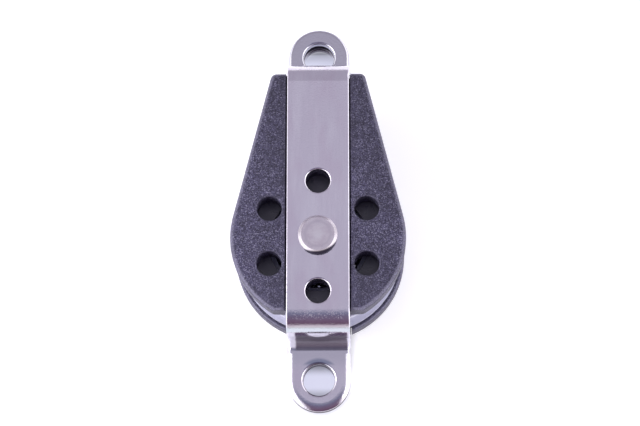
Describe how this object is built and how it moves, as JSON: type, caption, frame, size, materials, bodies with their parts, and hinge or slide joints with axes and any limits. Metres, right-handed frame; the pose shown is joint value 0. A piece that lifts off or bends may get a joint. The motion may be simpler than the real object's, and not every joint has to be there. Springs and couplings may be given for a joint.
{
  "type": "sailing block",
  "caption": "Single block for running rigging, with a becket: two bent steel straps, moulded cheeks and a ball bearing sheave on a riveted axle.",
  "frame": {"origin": "centre of the head eye, half way between the two straps", "axes": "+Y from the becket eye to the head eye, +Z along the axle and the eye pins, out of the front strap, +X across the straps"},
  "size_m": [0.0278, 0.0635, 0.0198],
  "materials": {
    "strap_steel": "polished",
    "rivet_steel": "satin",
    "race_steel": "ground",
    "ball_steel": "polished",
    "cheek_plastic": "fine spark-textured moulding",
    "sheave_plastic": "smooth machined"
  },
  "bodies": {
    "frame": {"front_strap": "strap_steel", "rear_strap": "strap_steel", "front_cheek": "cheek_plastic", "rear_cheek": "cheek_plastic", "inner_race": "race_steel", "axle_sleeve": "race_steel", "axle_rivet": "rivet_steel"},
    "sheave": {"sheave": "sheave_plastic"},
    "ball_set": {"ball_01": "ball_steel", "ball_02": "ball_steel", "ball_03": "ball_steel", "ball_04": "ball_steel", "ball_05": "ball_steel", "ball_06": "ball_steel", "ball_07": "ball_steel", "ball_08": "ball_steel", "ball_09": "ball_steel", "ball_10": "ball_steel", "ball_11": "ball_steel", "ball_12": "ball_steel"}
  },
  "joints": [
    {"name": "sheave_spin", "type": "hinge", "parent": "frame", "child": "sheave", "pos_m": [0, -0.03175, 0], "axis": [0, 0, 1], "continuous": true},
    {"name": "ball_orbit", "type": "hinge", "parent": "frame", "child": "ball_set", "pos_m": [0, -0.03175, 0], "axis": [0, 0, 1], "continuous": true}
  ],
  "couplings": [
    {"joint": "ball_orbit", "follows": "sheave_spin", "ratio": 0.6172}
  ]
}
